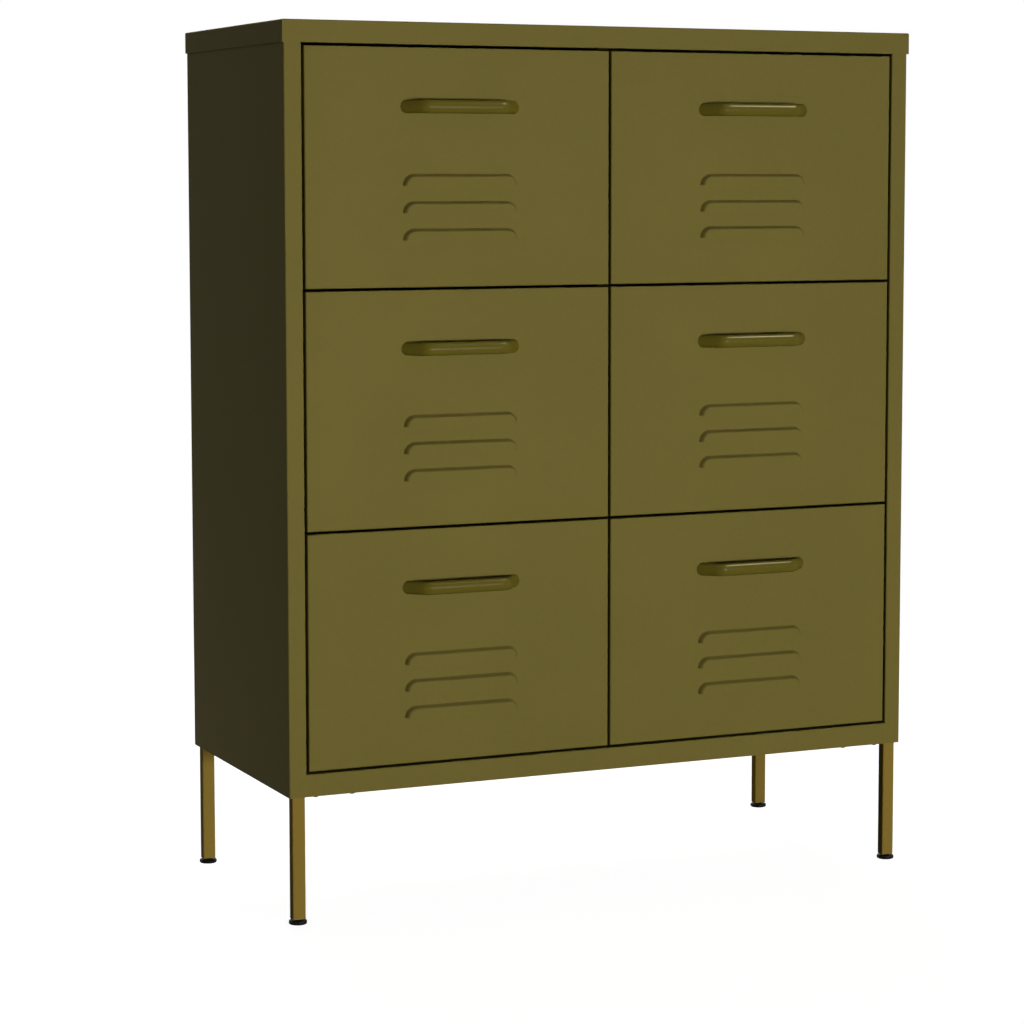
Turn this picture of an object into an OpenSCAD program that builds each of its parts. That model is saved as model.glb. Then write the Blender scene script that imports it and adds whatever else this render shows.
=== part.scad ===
// Steel drawer cabinet: two columns of three drawers with pressed louvres, on four tube legs.
// Millimetres. X runs left to right, Y front to back, Z up.
// The origin is on the floor, below the middle of the whole object with its handles.

/* [Overall size] */
// Width over the lid
cab_w = 800; // [640:1:1000]
// Depth over the lid, without the handles
cab_d = 350; // [320:1:450]
// Height from the floor to the top of the lid
cab_h = 1015; // [900:1:1200]
// Height of the carcass underside above the floor
clear_h = 146.5; // [110:0.5:200]

/* [Sheet metal] */
// Thickness of the carcass and drawer sheet
sheet = 0.8; // [0.6:0.1:1.0]
// Inner radius of every fold
fold_r = 0.8; // [0.5:0.1:1.2]

/* [Lid] */
// Height of the lid's skirt
lid_h = 25; // [20:1:40]
// How far the lid stands out past each side panel
lid_side_lap = 1.75; // [1.3:0.05:4]
// How far the lid stands out past the drawer fronts and past the back
lid_front_lap = 1.5; // [1.4:0.1:4]
// Depth of the flange turned in under the front skirt
lid_flange = 15; // [10:1:18]

/* [Carcass] */
// Width of the stile at each end of the front
stile_w = 20.75; // [18:0.25:30]
// Depth of the flange turned in behind each stile
stile_flange = 17; // [8:1:17]
// Height of the rail below the bottom drawers
rail_h = 25.5; // [18:0.5:45]
// Depth of the rail's top flange
rail_flange = 14; // [8:1:18]
// Height of the lip turned down behind the rail's top flange
rail_lip = 9; // [5:1:12]
// Width of the flanges along the back and the top of each side panel
side_flange = 22; // [18:1:30]
// Height of the floor's upturned back and side flanges
floor_flange = 20; // [14:1:30]
// Thickness of the hollow divider between the columns
divider_t = 16; // [14:1:30]
// Gap between the drawer fronts' back edges and the divider
divider_gap = 3; // [1:0.5:6]
// Width of the posts that carry the slides
post_w = 40; // [30:1:50]
// Width of the flanges that fix a post to the side panel
post_flange = 10; // [6:1:14]
// From each end of a drawer box to the middle of the nearer post
post_inset = 28; // [26:1:60]

/* [Drawers] */
// Gap around every drawer front
front_gap = 3; // [2:0.25:5]
// Depth of a drawer front's folded edges
front_d = 15; // [12:1:20]
// Width of the lips folded in at a front's left and right edges
front_side_lip = 26; // [24:1:40]
// Height of the lip folded in at a front's lower edge
front_low_lip = 30; // [24:1:40]
// Height of the lip folded in at a front's upper edge
front_top_lip = 12; // [6:1:20]
// Height of a drawer box
box_h = 180; // [120:1:195]
// Height of a drawer box's underside above the front's lower edge
box_rise = 14; // [8:1:22]
// Free depth behind a drawer box
box_back_gap = 29.2; // [20:0.1:50]
// Height of the safety fold along the top of a drawer box
hem_h = 10; // [6:1:14]

/* [Slides] */
// How far a drawer opens
travel = 225; // [100:1:240]
// Space taken by a slide between a drawer box and its post
slide_w = 12.7; // [12.5:0.1:14]
// Height of a slide
slide_h = 35; // [32:0.5:45]
// Thickness of the slide steel
slide_t = 1.2; // [1:0.1:1.4]
// Middle of the slide above the drawer box's underside
slide_rise = 90; // [40:1:120]
// From each end of the drawer box to the slide
slide_end = 1; // [0.5:0.5:4]
// Diameter of the bearing balls
ball_d = 3; // [2.5:0.1:3]
// Clearance of the balls in their races
ball_fit = 0.15; // [0.1:0.05:0.2]
// Middle of the ball race, from the face that the slide is fixed to
race_x = 6; // [5.6:0.1:6.2]
// Number of balls along each race
ball_count = 5; // [3:1:5]
// Thickness of the strip that spaces the balls
cage_t = 0.6; // [0.4:0.1:0.6]
// How much shorter a cage is than the slide's overlap with the drawer open
cage_play = 5; // [2:1:10]

/* [Louvres] */
// Number of louvres in a drawer front
louvre_count = 3; // [1:1:3]
// Width of a louvre at its foot
louvre_w = 140; // [100:1:180]
// Height of a louvre
louvre_h = 13.5; // [13.5:0.5:18]
// How far a louvre stands out
louvre_d = 4; // [2.5:0.1:5]
// Width of the sloping band round a louvre
louvre_run = 3; // [2:0.25:4]
// Radius of a louvre's upper corners
louvre_r = 13; // [8:0.5:13]
// Distance from one louvre to the next
louvre_pitch = 30.7; // [22:0.1:36]
// From a front's upper edge to the top of its first louvre
louvre_drop = 141; // [110:0.5:150]

/* [Handles] */
// Length of a handle along the drawer front
handle_len = 145.2; // [125:0.1:200]
// Height of a handle
handle_h = 15.4; // [13:0.1:20]
// Thickness of a handle
handle_t = 10; // [8:0.1:10.4]
// How far a handle stands out from the drawer front
handle_out = 22; // [20:0.5:30]
// Slope of a handle's ends, from the drawer front
handle_slope = 45; // [45:1:65]
// Bend radius along the middle of a handle
handle_bend = 8; // [6:0.5:10]
// From a front's upper edge to the middle of its handle
handle_drop = 66; // [40:1:90]
// How far a handle's screws stand in from its tips
handle_screw_in = 9.6; // [9:0.1:10.2]

/* [Legs and feet] */
// Width of a leg tube
leg_w = 15.5; // [14:0.5:25]
// Depth of a leg tube
leg_d = 12; // [11:0.5:25]
// Wall of a leg tube
leg_wall = 1.2; // [0.8:0.1:1.4]
// Outer corner radius of a leg tube
leg_corner = 1.6; // [1.5:0.1:3]
// Inset of the legs from the carcass's sides
leg_in_x = 4.5; // [4:0.5:15]
// Inset of the legs from the carcass's front and back
leg_in_y = 3.8; // [3.5:0.1:15]
// Thickness of a leg's fixing plate
plate_t = 2; // [1.5:0.1:4]
// Width of a leg's fixing plate
plate_w = 92; // [88:1:120]
// Depth of a leg's fixing plate
plate_d = 50; // [46:1:60]
// Diameter of a foot
foot_dia = 21; // [18:0.5:30]
// Thickness of a foot's pad
pad_h = 4.4; // [4:0.1:8]
// Radius of the pad's rims
pad_rim = 1.5; // [1:0.1:1.9]
// Height of the leg tube's end above the floor
tube_z = 6; // [5.4:0.1:8]
// Diameter of a foot's threaded stem
stem_dia = 6; // [5:0.5:6.5]
// Length of the threaded insert in a leg tube
insert_h = 18; // [15:1:30]

/* [Fasteners] */
// Diameter of the screws
screw_dia = 4; // [3.5:0.1:4.2]
// Diameter of the screw heads
head_dia = 7.2; // [6:0.1:8]
// Height of the heads under the carcass and inside the drawer fronts
head_h = 2; // [1.5:0.1:2.4]
// Height of the flat heads on the back
flat_head_h = 1.3; // [1:0.1:1.3]
// Diameter of the lid's weld studs
stud_dia = 5; // [4:0.5:6]
// Length of the lid's weld studs
stud_len = 9; // [7:1:14]
// Thickness of the lid's nuts
nut_h = 4; // [3:0.5:5]
// Width of the lid's nuts across their flats
nut_flats = 8; // [8:0.5:10]

/* [Hidden] */
$fn = 48;
paint = "#6A602E";
zinc = "#B4B8BA";
black = "#141414";

row_names = ["bottom", "middle", "top"];
column_names = ["left", "right"];
ends = ["front", "back"];
rows = len(row_names);

fit = 0.05;     // clearance of a seated piece and of a screw in its hole
stem_fit = 0.08; // clearance of a foot's stem in its insert
seat_gap = 0.3; // running gap between a foot and its leg
edge_gap = 0.5; // clearance round a leg's plate
hole_fit = 0.2; // clearance of a screw in the piece that it clamps
cut = 1;        // how far a cutting shape runs past the face that it cuts

fold_out = fold_r + sheet;
body_w = cab_w - 2 * lid_side_lap;
reach = handle_out - lid_front_lap;
lid_y = -(cab_d - reach) / 2;
front_y = lid_y + lid_front_lap;
back_y = lid_y + cab_d - lid_front_lap;
inner_y = back_y - sheet;
mid_y = (front_y + back_y) / 2;
lid_z = cab_h - lid_h;
skin_x = body_w / 2 - sheet;
open_x = body_w / 2 - stile_w;
floor_z = clear_h + plate_t + sheet;
rail_z = clear_h + rail_h;

front_w = open_x - 1.5 * front_gap;
front_h = floor(10 * (lid_z - rail_z - (rows + 1) * front_gap) / rows) / 10;
box_y = front_y + front_d;
box_d = inner_y - box_back_gap - box_y;
box_w = open_x - divider_t / 2 - 2 * slide_w;
box_x = (open_x + divider_t / 2) / 2;
slide_y = box_y + slide_end;
slide_len = box_d - 2 * slide_end;
post_ys = [box_y + post_inset, box_y + box_d - post_inset];

ball_z = slide_h / 2 - slide_t - ball_fit - ball_d / 2;
runner_z = ball_z - ball_d / 2 - ball_fit;
outer_lip_x = race_x + ball_d / 2 + ball_fit;
inner_lip_x = race_x - ball_d / 2 - ball_fit - slide_t;
lip_gap = 1;    // from a slide member's lip to the other member
cage_gap = 0.25; // from a cage to the cabinet member
cage_len = slide_len - travel - cage_play;
cage_y = slide_y + slide_len / 2;
slide_fold = 0.5; // inner radius of a slide member's folds

// from the foot of a louvre's sloping band to the foot of the band's inner face, and the width
// of that inner face, both to the nearest 0.01 mm
louvre_skin = round(100 * sheet * norm([louvre_d, louvre_run]) / louvre_d) / 100;
louvre_in_run = round(100 * louvre_run * (louvre_d - sheet) / louvre_d) / 100;

handle_mid = handle_out - handle_t / 2;
handle_run = (handle_mid - handle_bend * (1 - cos(handle_slope))) / tan(handle_slope);
grip_x = handle_len / 2 - handle_t / 2 / sin(handle_slope) - handle_run
    - handle_bend * sin(handle_slope);
handle_screw_x = handle_len / 2 - handle_screw_in;
handle_bore = 6;  // depth of the tapped hole in a handle's foot
foot_lap = 0.5;   // how far a handle's foot starts inside its bend
foot_slim = 0.1;  // how much thinner the foot is than the bend

leg_screws_in = [33, 77]; // from the carcass's side
leg_screw_y = 5.6;        // from the carcass's front or back
leg_screw_step = 36;
leg_screw_len = 8;
stud_x = body_w / 2 - side_flange / 2;
stud_ys = [mid_y - 50, mid_y + 50];
back_screw_rows = 5;
back_screw_end = 30;      // from the carcass's ends to the outermost back screws
back_screw_len = 8;
floor_screw_xs = [-1, 1] * 0.3 * body_w;
slide_screw_len = 5;

function side_x(c) = c == 0 ? -1 : 1;
function column_x(c) = side_x(c) * (front_w + front_gap) / 2;
function row_z(r) = rail_z + front_gap + r * (front_h + front_gap);
function slide_z(r) = row_z(r) + box_rise + slide_rise;
function drawer(c, r) = str(row_names[r], "_", column_names[c]);
function unit(v) = v / norm(v);
function mean(v) = (v[0] + v[1]) / 2;
function back_screw_places() = let (
        low = clear_h + back_screw_end,
        step = (lid_z - back_screw_end - low) / (back_screw_rows - 1),
        flange_x = body_w / 2 - side_flange / 2
    ) concat(
        [for (s = [-1, 1], i = [0 : back_screw_rows - 1]) [s * flange_x, low + i * step]],
        [for (x = floor_screw_xs) [x, floor_z + floor_flange / 2]],
        [for (i = [1 : back_screw_rows - 2]) [0, low + i * step]]
    );

// ---- shared shapes ----

// A strip of sheet folded at right angles along the given middle line
module folded(line, t = sheet, inner = fold_r) {
    r = inner + t / 2;
    last = len(line) - 1;
    for (i = [0 : last - 1]) {
        run = unit(line[i + 1] - line[i]);
        from = i == 0 ? 0 : r;
        to = i == last - 1 ? 0 : r;
        translate(line[i] + run * from)
            rotate(atan2(run.y, run.x))
                translate([0, -t / 2])
                    square([norm(line[i + 1] - line[i]) - from - to, t]);
    }
    for (i = [1 : last - 1]) {
        a = unit(line[i] - line[i - 1]);
        b = unit(line[i] - line[i + 1]);
        turn = a.x * b.y - a.y * b.x > 0 ? a : b;
        translate(line[i] - (a + b) * r)
            rotate(atan2(turn.y, turn.x))
                intersection() {
                    difference() {
                        circle(r + t / 2);
                        circle(r - t / 2);
                    }
                    square(r + t / 2);
                }
    }
}

// A rectangle with its two upper corners rounded, standing on the X axis
module arched(w, h, r) {
    translate([-w / 2, 0]) square([w, h - r]);
    translate([-w / 2 + r, 0]) square([w - 2 * r, h]);
    for (s = [-1, 1]) translate([s * (w / 2 - r), h - r]) circle(r);
}

// A block with rounded upper edges, standing on the XY plane
module crowned(w, d, h, r) {
    intersection() {
        rotate([90, 0, 0]) linear_extrude(d, center = true) arched(w, h, r);
        rotate([90, 0, 90]) linear_extrude(w, center = true) arched(d, h, r);
    }
}

// A folded sheet pan, open below
module pan(w, d, h) {
    difference() {
        crowned(w, d, h, fold_out);
        translate([0, 0, -cut])
            crowned(w - 2 * sheet, d - 2 * sheet, h - sheet + cut, fold_r);
    }
}

module rounded_rect(w, d, r) {
    square([w - 2 * r, d], center = true);
    square([w, d - 2 * r], center = true);
    for (x = [-1, 1], y = [-1, 1]) translate([x * (w / 2 - r), y * (d / 2 - r)]) circle(r);
}

// Moves a shape made for the front right corner to the named corner
module at_corner(c, e) {
    translate([0, mid_y, 0])
        mirror([c == 0 ? 1 : 0, 0, 0])
            mirror([0, e == 1 ? 1 : 0, 0])
                translate([0, -mid_y, 0])
                    children();
}

// Moves a shape made on the right to the named side
module at_side(c) {
    mirror([c == 0 ? 1 : 0, 0, 0]) children();
}

// ---- carcass ----

module top_panel() color(paint) {
    translate([0, lid_y + cab_d / 2, lid_z]) pan(cab_w, cab_d, lid_h);
    translate([-open_x, lid_y + sheet, lid_z]) cube([2 * open_x, lid_flange - sheet, sheet]);
    for (s = [-1, 1], y = stud_ys)
        translate([s * stud_x, y, cab_h - sheet - stud_len]) cylinder(h = stud_len, d = stud_dia);
}

module lid_nuts() color(zinc) {
    for (s = [-1, 1], y = stud_ys)
        translate([s * stud_x, y, cab_h - 2 * sheet - nut_h])
            difference() {
                cylinder(h = nut_h, d = nut_flats / cos(30), $fn = 6);
                translate([0, 0, -cut]) cylinder(h = nut_h + 2 * cut, d = stud_dia + 2 * fit);
            }
}

module side_panel(c) color(paint) at_side(c) {
    half = sheet / 2;
    difference() {
        union() {
            translate([0, 0, clear_h])
                linear_extrude(cab_h - sheet - clear_h)
                    folded([
                        [open_x + half, front_y + stile_flange],
                        [open_x + half, front_y + half],
                        [body_w / 2 - half, front_y + half],
                        [body_w / 2 - half, inner_y - half],
                        [body_w / 2 - side_flange, inner_y - half]
                    ]);
            translate([body_w / 2 - side_flange, front_y + half, cab_h - 2 * sheet])
                cube([side_flange - half, inner_y - front_y - sheet, sheet]);
        }
        // room for the bottom panel's rail and floor
        translate([open_x - cut, front_y - cut, clear_h - cut])
            cube([fold_out + cut, stile_flange + 2 * cut, rail_h + cut]);
        for (y = stud_ys)
            translate([stud_x, y, cab_h - 2 * sheet - cut])
                cylinder(h = sheet + 2 * cut, d = stud_dia + 2 * hole_fit);
        for (p = back_screw_places()) if (p.x > 0)
            translate([p.x, inner_y + cut, p.y])
                rotate([90, 0, 0]) cylinder(h = sheet + 2 * cut, d = screw_dia + 2 * fit);
    }
}

module back_panel() color(paint) {
    difference() {
        translate([-body_w / 2, inner_y, clear_h])
            cube([body_w, sheet, cab_h - 2 * sheet - clear_h]);
        for (p = back_screw_places())
            translate([p.x, back_y + cut, p.y])
                rotate([90, 0, 0]) cylinder(h = sheet + 2 * cut, d = screw_dia + 2 * hole_fit);
    }
}

module back_screws() color(zinc) {
    for (p = back_screw_places())
        translate([p.x, back_y, p.y]) {
            rotate([90, 0, 0]) cylinder(h = back_screw_len, d = screw_dia);
            rotate([-90, 0, 0]) cylinder(h = flat_head_h, d = head_dia);
        }
}

module bottom_panel() color(paint) {
    half = sheet / 2;
    rail_half = open_x + fold_out;
    back_half = body_w / 2 - side_flange - edge_gap;
    tab = post_ys[1] - post_ys[0] - post_w - 2 * post_flange - 2 * cut;
    difference() {
        union() {
            translate([-skin_x, front_y + sheet, floor_z - sheet])
                cube([2 * skin_x, inner_y - front_y - 2 * sheet, sheet]);
            // front rail, closed below by a fold that stiffens its edge
            translate([-rail_half, 0, 0]) rotate([90, 0, 90]) linear_extrude(2 * rail_half) {
                folded([
                    [front_y + rail_flange, rail_z - rail_lip],
                    [front_y + rail_flange, rail_z - half],
                    [front_y + half, rail_z - half],
                    [front_y + half, clear_h]
                ]);
                translate([front_y + sheet, clear_h]) square([sheet, floor_z - clear_h]);
            }
            translate([-back_half, 0, 0]) rotate([90, 0, 90]) linear_extrude(2 * back_half)
                folded([
                    [mid_y, floor_z - half],
                    [inner_y - half, floor_z - half],
                    [inner_y - half, floor_z + floor_flange]
                ]);
            for (s = [-1, 1])
                translate([s * (skin_x - half) - half, mean(post_ys) - tab / 2, floor_z - sheet])
                    cube([sheet, tab, floor_flange + sheet]);
        }
        for (c = [0, 1], e = [0, 1]) at_corner(c, e) leg_screw_places()
            cylinder(h = plate_t + 2 * sheet + cut, d = screw_dia + 2 * fit);
        for (x = floor_screw_xs)
            translate([x, inner_y + cut, floor_z + floor_flange / 2])
                rotate([90, 0, 0]) cylinder(h = sheet + 2 * cut, d = screw_dia + 2 * fit);
    }
}

module centre_divider() color(paint) {
    low_y = box_y + divider_gap;
    depth = inner_y - sheet - low_y;
    difference() {
        translate([0, low_y + depth / 2, floor_z])
            linear_extrude(cab_h - sheet - floor_z)
                difference() {
                    rounded_rect(divider_t, depth, fold_out);
                    rounded_rect(divider_t - 2 * sheet, depth - 2 * sheet, fold_r);
                }
        for (p = back_screw_places()) if (p.x == 0)
            translate([0, inner_y, p.y])
                rotate([90, 0, 0]) cylinder(h = 2 * sheet + cut, d = screw_dia + 2 * fit);
        for (r = [0 : rows - 1], y = post_ys)
            translate([-divider_t / 2 - cut, y, slide_z(r)])
                rotate([0, 90, 0]) cylinder(h = divider_t + 2 * cut, d = screw_dia + 2 * fit);
    }
}

// Two hat-section posts welded inside a side panel
module posts(c) color(paint) at_side(c) {
    half = sheet / 2;
    skin = skin_x - half;
    crown = open_x + half;
    edge = post_w / 2 - half;
    for (y = post_ys)
        difference() {
            translate([0, y, floor_z])
                linear_extrude(cab_h - 2 * sheet - floor_z)
                    folded([
                        [skin, -edge - post_flange],
                        [skin, -edge],
                        [crown, -edge],
                        [crown, edge],
                        [skin, edge],
                        [skin, edge + post_flange]
                    ]);
            for (r = [0 : rows - 1])
                translate([open_x - cut, y, slide_z(r)])
                    rotate([0, 90, 0]) cylinder(h = sheet + 2 * cut, d = screw_dia + 2 * fit);
        }
}

// ---- legs and feet ----

// Stands its children at each of the four screws of the front right leg, pointing up
module leg_screw_places() {
    for (x = leg_screws_in, y = [leg_screw_y, leg_screw_y + leg_screw_step])
        translate([body_w / 2 - x, front_y + y, clear_h]) children();
}

module leg_axis() {
    translate([body_w / 2 - leg_in_x - leg_w / 2, front_y + leg_in_y + leg_d / 2, 0]) children();
}

module leg(c, e) color(paint) at_corner(c, e) {
    leg_axis() translate([0, 0, tube_z]) linear_extrude(clear_h - tube_z)
        difference() {
            rounded_rect(leg_w, leg_d, leg_corner);
            rounded_rect(leg_w - 2 * leg_wall, leg_d - 2 * leg_wall, leg_corner - leg_wall);
        }
    difference() {
        translate([skin_x - edge_gap - plate_w, front_y + 2 * sheet + edge_gap, clear_h])
            cube([plate_w, plate_d, plate_t]);
        leg_screw_places()
            translate([0, 0, -cut]) cylinder(h = plate_t + 2 * cut, d = screw_dia + 2 * hole_fit);
    }
}

module leg_inserts() color(black) {
    for (c = [0, 1], e = [0, 1]) at_corner(c, e) leg_axis() translate([0, 0, tube_z])
        difference() {
            linear_extrude(insert_h)
                rounded_rect(leg_w - 2 * (leg_wall + fit), leg_d - 2 * (leg_wall + fit),
                    leg_corner - leg_wall);
            translate([0, 0, -cut]) cylinder(h = insert_h + 2 * cut, d = stem_dia + 2 * stem_fit);
        }
}

module leg_screws() color(zinc) {
    for (c = [0, 1], e = [0, 1]) at_corner(c, e) leg_screw_places() {
        cylinder(h = leg_screw_len, d = screw_dia);
        translate([0, 0, -head_h]) cylinder(h = head_h, d = head_dia);
    }
}

module foot(c, e) color(black) at_corner(c, e) leg_axis() {
    rim_x = foot_dia / 2 - pad_rim;
    neck_z = tube_z - seat_gap;
    rotate_extrude() {
        square([rim_x, pad_h]);
        translate([0, pad_rim]) square([foot_dia / 2, pad_h - 2 * pad_rim]);
        for (z = [pad_rim, pad_h - pad_rim]) translate([rim_x, z]) circle(pad_rim);
        square([stem_dia / 2 + 2 * pad_rim, neck_z]);
        square([stem_dia / 2, tube_z + insert_h - 2 * cut]);
    }
}

// ---- drawers ----

// The outline of a louvre on the sheet, hanging from the X axis
module louvre_outline(w, h, r) {
    translate([-w / 2, -h]) square([w, h - r]);
    translate([-w / 2 + r, -h]) square([w - 2 * r, h]);
    intersection() {
        for (s = [-1, 1]) translate([s * (w / 2 - r), -r]) circle(r);
        translate([-w / 2, -h]) square([w, h]);
    }
}

// A flat-topped rise with sloping sides, round upper corners and a square lower end.
// It stands out towards -Y and hangs from the X axis.
module rise(w, h, d, run, r) {
    rotate([90, 0, 90]) linear_extrude(w - 2 * r, center = true)
        polygon([[0, 0], [-d, -run], [-d, -r], [0, -r]]);
    translate([0, 0, -h]) linear_extrude(h - r)
        polygon([[-w / 2, 0], [run - w / 2, -d], [w / 2 - run, -d], [w / 2, 0]]);
    intersection() {
        for (s = [-1, 1]) translate([s * (w / 2 - r), 0, -r])
            rotate([90, 0, 0]) cylinder(h = d, r1 = r, r2 = r - run);
        translate([-w / 2, -d, -h]) cube([w, d, h]);
    }
}

module louvre_slot() {
    translate([0, sheet + cut, -louvre_skin])
        rotate([90, 0, 0]) linear_extrude(sheet + 2 * cut)
            louvre_outline(louvre_w - 2 * louvre_skin, louvre_h - louvre_skin,
                louvre_r - louvre_skin);
}

module louvre_hood() {
    difference() {
        rise(louvre_w, louvre_h, louvre_d, louvre_run, louvre_r);
        translate([0, 0, -louvre_skin])
            rise(louvre_w - 2 * louvre_skin, louvre_h - louvre_skin + cut, louvre_d - sheet,
                louvre_in_run, louvre_r - louvre_skin);
    }
}

module louvre_places() {
    for (i = [0 : louvre_count - 1])
        translate([0, 0, front_h - louvre_drop - i * louvre_pitch]) children();
}

module drawer_front(c, r) color(paint) translate([column_x(c), front_y, row_z(r)]) {
    difference() {
        translate([0, front_d, front_h / 2]) rotate([90, 0, 0]) pan(front_w, front_h, front_d);
        louvre_places() louvre_slot();
        for (s = [-1, 1])
            translate([s * handle_screw_x, sheet + cut, front_h - handle_drop])
                rotate([90, 0, 0]) cylinder(h = sheet + 2 * cut, d = screw_dia + 2 * hole_fit);
    }
    louvre_places() louvre_hood();
    // lips that the drawer box is welded to
    difference() {
        translate([sheet / 2 - front_w / 2, front_d - sheet, sheet / 2])
            cube([front_w - sheet, sheet, front_h - sheet]);
        translate([front_side_lip - front_w / 2, front_d - sheet - cut, front_low_lip])
            cube([front_w - 2 * front_side_lip, sheet + 2 * cut,
                front_h - front_low_lip - front_top_lip]);
    }
}

module drawer_box(c, r) color(paint)
    translate([side_x(c) * box_x, box_y + box_d / 2, row_z(r) + box_rise]) {
        translate([0, 0, box_h]) rotate([180, 0, 0]) pan(box_w, box_d, box_h);
        for (s = [-1, 1])
            translate([s * (box_w + sheet) / 2 - sheet / 2, -box_d / 2, box_h - hem_h])
                cube([sheet, box_d, hem_h]);
        translate([-box_w / 2, box_d / 2, box_h - hem_h]) cube([box_w, sheet, hem_h]);
    }

module handle_section(t = handle_t) {
    square([t, handle_h - handle_t], center = true);
    for (s = [-1, 1]) translate([0, s * (handle_h - handle_t) / 2]) circle(d = t);
}

// One end of the handle: half of the grip, the bend and the sloping foot, towards +X
module handle_half() {
    bend_y = handle_bend - handle_mid;
    foot_len = (handle_mid + handle_t) / sin(handle_slope);
    translate([0, -handle_mid, 0])
        rotate([90, 0, 90]) linear_extrude(grip_x) handle_section();
    translate([grip_x, bend_y, 0]) rotate([0, 0, -90])
        rotate_extrude(angle = handle_slope) translate([handle_bend, 0]) handle_section();
    translate([grip_x, bend_y, 0]) rotate([0, 0, handle_slope])
        translate([-foot_lap, -handle_bend, 0])
            rotate([90, 0, 90]) linear_extrude(foot_len) handle_section(handle_t - foot_slim);
}

module handle(c, r) color(paint)
    translate([column_x(c), front_y, row_z(r) + front_h - handle_drop])
        difference() {
            intersection() {
                union() {
                    handle_half();
                    mirror([1, 0, 0]) handle_half();
                }
                translate([-handle_len / 2 - cut, -handle_out - cut, -handle_h])
                    cube([handle_len + 2 * cut, handle_out + cut, 2 * handle_h]);
            }
            for (s = [-1, 1])
                translate([s * handle_screw_x, cut, 0])
                    rotate([90, 0, 0]) cylinder(h = handle_bore + cut, d = screw_dia + 2 * fit);
        }

module handle_screws(c, r) color(zinc)
    for (s = [-1, 1])
        translate([column_x(c) + s * handle_screw_x, front_y + sheet,
            row_z(r) + front_h - handle_drop]) {
            rotate([90, 0, 0]) cylinder(h = sheet + handle_bore - cut, d = screw_dia);
            rotate([-90, 0, 0]) cylinder(h = head_h, d = head_dia);
        }

// ---- slides ----

// Places a slide section, drawn with its fixed face on the Y axis, on both sides of a drawer
module slide_pair(c, y, len, r) {
    for (s = [-1, 1]) {
        face = side_x(c) * box_x + s * (box_w / 2 + slide_w);
        translate([face, y + len, slide_z(r)])
            mirror([s > 0 ? 1 : 0, 0, 0])
                rotate([90, 0, 0]) linear_extrude(len) children();
    }
}

module rail_section() {
    half = slide_t / 2;
    lip_z = runner_z + lip_gap;
    top = slide_h / 2 - half;
    folded([
        [outer_lip_x + half, lip_z], [outer_lip_x + half, top],
        [half, top], [half, -top],
        [outer_lip_x + half, -top], [outer_lip_x + half, -lip_z]
    ], slide_t, slide_fold);
}

module runner_section() {
    half = slide_t / 2;
    lip_z = slide_h / 2 - slide_t - lip_gap;
    top = runner_z - half;
    folded([
        [inner_lip_x + half, lip_z], [inner_lip_x + half, top],
        [slide_w - half, top], [slide_w - half, -top],
        [inner_lip_x + half, -top], [inner_lip_x + half, -lip_z]
    ], slide_t, slide_fold);
}

module cage_section() {
    half = cage_t / 2;
    top = slide_h / 2 - slide_t - cage_gap - half;
    web = slide_t + cage_gap + half;
    folded([[race_x + ball_d / 2, top], [web, top], [web, -top], [race_x + ball_d / 2, -top]],
        cage_t, ball_fit);
}

// A countersunk screw along X, its head's flat face on the YZ plane and its point towards -X
module slide_screw(grow = 0) rotate([0, -90, 0]) {
    cylinder(h = slide_t, d1 = head_dia + 2 * grow, d2 = screw_dia + 2 * grow);
    cylinder(h = slide_screw_len, d = screw_dia + 2 * grow);
}

module slide_screw_hole() {
    slide_screw(fit);
    translate([-fit, 0, 0]) rotate([0, 90, 0]) cylinder(h = cut, d = head_dia + 2 * fit);
}

// Every screw of the slides in one column, standing on the rail's inner face
module slide_screw_places(c) {
    for (s = [-1, 1], r = [0 : rows - 1], y = post_ys)
        translate([side_x(c) * box_x + s * (box_w / 2 + slide_w - slide_t), y, slide_z(r)])
            mirror([s > 0 ? 1 : 0, 0, 0]) children();
}

module slide_rails(c) color(zinc) {
    difference() {
        for (r = [0 : rows - 1]) slide_pair(c, slide_y, slide_len, r) rail_section();
        slide_screw_places(c) slide_screw_hole();
    }
}

module slide_screws() color(zinc) {
    for (c = [0, 1]) slide_screw_places(c) slide_screw();
}

module runners(c, r) color(zinc) slide_pair(c, slide_y, slide_len, r) runner_section();

module ball_cages(c, r) color(zinc) {
    slide_pair(c, cage_y - cage_len / 2, cage_len, r) cage_section();
    step = cage_len / ball_count;
    for (s = [-1, 1], t = [-1, 1], i = [0 : ball_count - 1])
        translate([
            side_x(c) * box_x + s * (box_w / 2 + slide_w - race_x),
            cage_y + (i - (ball_count - 1) / 2) * step,
            slide_z(r) + t * ball_z
        ]) sphere(d = ball_d);
}

// ---- assembly ----

top_panel();
side_panel(0);  // left_side_panel
side_panel(1);  // right_side_panel
back_panel();
bottom_panel();
centre_divider();
posts(0);  // left_posts
posts(1);  // right_posts
leg_inserts();
leg_screws();
lid_nuts();
back_screws();
slide_screws();
for (c = [0, 1]) {
    slide_rails(c);
    for (e = [0, 1]) {
        corner = str(ends[e], "_", column_names[c]);
        leg(c, e);
        foot(c, e);
    }
    for (r = [0 : rows - 1]) {
        drawer_front(c, r);
        drawer_box(c, r);
        handle(c, r);
        handle_screws(c, r);
        runners(c, r);
        ball_cages(c, r);
    }
}
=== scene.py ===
import bpy, bmesh, math
from mathutils import Matrix, Vector


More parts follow.
